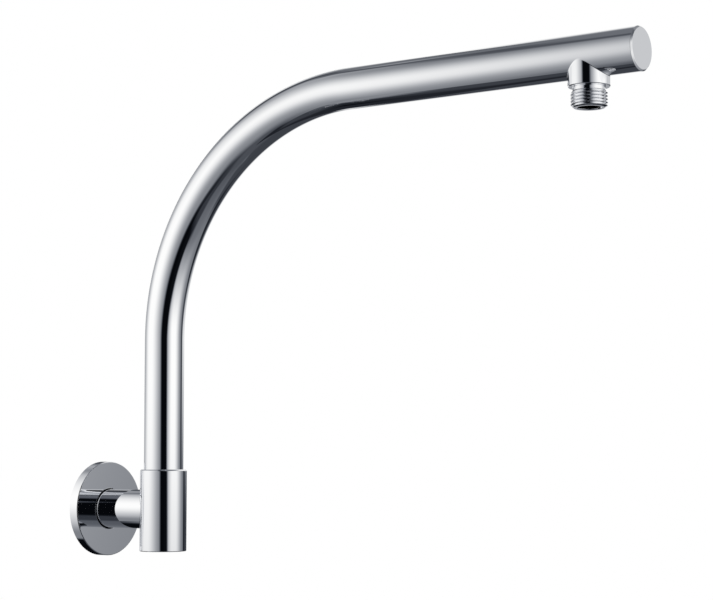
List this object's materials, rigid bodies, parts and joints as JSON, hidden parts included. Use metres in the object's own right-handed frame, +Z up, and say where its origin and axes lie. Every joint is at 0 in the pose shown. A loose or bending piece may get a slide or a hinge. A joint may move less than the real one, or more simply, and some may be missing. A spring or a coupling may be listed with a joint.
{
  "type": "shower arm",
  "caption": "Wall-mounted shower arm: a round flange and short inlet pipe carry a socket, from which a tube rises, bends through a right angle and runs level to a threaded outlet.",
  "frame": {"origin": "on the axis of the inlet thread, in the plane of the wall that the flange's back lies on", "axes": "+X out of the wall along the inlet and the arm, +Z up along the riser, +Y across the arm"},
  "size_m": [0.4115, 0.061, 0.2997],
  "materials": {
    "chrome_plate": "mirror polished plating on brass",
    "bare_brass": "turned, unplated",
    "screw_steel": "plain machined stainless steel",
    "seal_rubber": "smooth matt rubber"
  },
  "bodies": {
    "root": {"arm_tube": "chrome_plate", "end_cap": "chrome_plate", "outlet_nipple": "chrome_plate", "socket_body": "chrome_plate", "wall_stub": "chrome_plate", "wall_flange": "chrome_plate", "arm_spigot": "bare_brass", "lock_screw": "screw_steel", "spigot_ring_upper": "seal_rubber", "spigot_ring_lower": "seal_rubber", "flange_grip_ring": "seal_rubber", "wall_gasket": "seal_rubber"}
  },
  "joints": []
}
